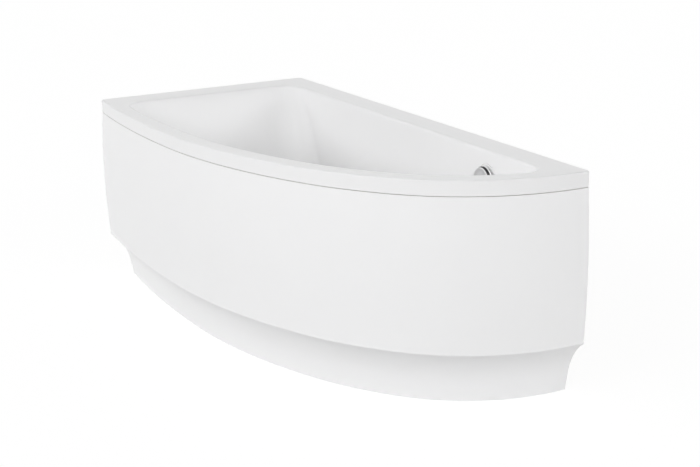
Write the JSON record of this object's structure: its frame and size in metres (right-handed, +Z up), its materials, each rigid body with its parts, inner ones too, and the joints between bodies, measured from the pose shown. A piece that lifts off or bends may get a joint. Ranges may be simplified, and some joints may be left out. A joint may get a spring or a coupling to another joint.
{
  "type": "corner bathtub",
  "caption": "Offset corner bath, wide at one end and narrow at the other, with a swept front apron over a coved plinth, a rim all round, a pop-up waste and a rotary overflow knob.",
  "frame": {"origin": "on the floor, under the middle of the bath's bounding box", "axes": "+X along the long back wall towards the narrow end, +Y towards the back wall, +Z up; the curved front faces -Y and +X"},
  "size_m": [1.4999, 0.6997, 0.57],
  "materials": {
    "shell_acrylic": "gloss",
    "apron_acrylic": "gloss",
    "batten_wood": "sawn",
    "clip_plastic": "matte",
    "chipboard": "coated board",
    "foot_plastic": "matte",
    "zinc_steel": "zinc plated",
    "chrome": "polished",
    "seal_rubber": "matte",
    "cable_sheath": "satin",
    "hose_plastic": "ribbed",
    "nut_plastic": "moulded",
    "drain_plastic": "moulded"
  },
  "bodies": {
    "bath": {"apron": "apron_acrylic", "apron_clips": "clip_plastic", "apron_stiffener_1": "batten_wood", "apron_stiffener_2": "batten_wood", "apron_stiffener_3": "batten_wood", "apron_stiffener_4": "batten_wood", "apron_stiffener_5": "batten_wood", "apron_strap_middle": "zinc_steel", "apron_strap_narrow": "zinc_steel", "apron_strap_wide": "zinc_steel", "base_board": "chipboard", "bath_shell": "shell_acrylic", "control_cable": "cable_sheath", "hose_nut_bottom": "nut_plastic", "hose_nut_top": "nut_plastic", "lock_nuts": "zinc_steel", "outlet_nut": "nut_plastic", "outlet_pipe": "drain_plastic", "overflow_gasket": "seal_rubber", "overflow_hose": "hose_plastic", "overflow_housing": "drain_plastic", "overflow_plate": "chrome", "rail_middle": "zinc_steel", "rail_narrow": "zinc_steel", "rail_screws": "zinc_steel", "rail_wide": "zinc_steel", "trap_body": "drain_plastic", "trap_cap": "nut_plastic", "trap_nut": "nut_plastic", "wall_bracket_back_narrow": "zinc_steel", "wall_bracket_back_wide": "zinc_steel", "wall_bracket_end": "zinc_steel", "waste_body": "drain_plastic", "waste_flange": "chrome", "waste_gasket": "seal_rubber"},
    "overflow_knob": {"overflow_knob": "chrome"},
    "pop_up_plug": {"pop_up_plug": "chrome", "plug_seal": "seal_rubber"},
    "foot_wide_front": {"foot_pad_wide_front": "foot_plastic", "foot_stud_wide_front": "zinc_steel"},
    "foot_wide_back": {"foot_pad_wide_back": "foot_plastic", "foot_stud_wide_back": "zinc_steel"},
    "foot_middle_front": {"foot_pad_middle_front": "foot_plastic", "foot_stud_middle_front": "zinc_steel"},
    "foot_middle_back": {"foot_pad_middle_back": "foot_plastic", "foot_stud_middle_back": "zinc_steel"},
    "foot_narrow_front": {"foot_pad_narrow_front": "foot_plastic", "foot_stud_narrow_front": "zinc_steel"},
    "foot_narrow_back": {"foot_pad_narrow_back": "foot_plastic", "foot_stud_narrow_back": "zinc_steel"}
  },
  "joints": [
    {"name": "overflow_knob_turn", "type": "hinge", "parent": "bath", "child": "overflow_knob", "pos_m": [0.445, 0.2735, 0.497], "axis": [0, -1, 0], "range_deg": [0, 90]},
    {"name": "pop_up_plug_lift", "type": "slide", "parent": "bath", "child": "pop_up_plug", "axis": [0, 0, 1], "range_m": [0, 0.01]},
    {"name": "foot_wide_front_height", "type": "slide", "parent": "bath", "child": "foot_wide_front", "axis": [0, 0, 1], "range_m": [-0.005, 0.005]},
    {"name": "foot_wide_back_height", "type": "slide", "parent": "bath", "child": "foot_wide_back", "axis": [0, 0, 1], "range_m": [-0.005, 0.005]},
    {"name": "foot_middle_front_height", "type": "slide", "parent": "bath", "child": "foot_middle_front", "axis": [0, 0, 1], "range_m": [-0.005, 0.005]},
    {"name": "foot_middle_back_height", "type": "slide", "parent": "bath", "child": "foot_middle_back", "axis": [0, 0, 1], "range_m": [-0.005, 0.005]},
    {"name": "foot_narrow_front_height", "type": "slide", "parent": "bath", "child": "foot_narrow_front", "axis": [0, 0, 1], "range_m": [-0.005, 0.005]},
    {"name": "foot_narrow_back_height", "type": "slide", "parent": "bath", "child": "foot_narrow_back", "axis": [0, 0, 1], "range_m": [-0.005, 0.005]}
  ],
  "couplings": [
    {"joint": "pop_up_plug_lift", "follows": "overflow_knob_turn", "m_per_rad": 0.0063662}
  ]
}
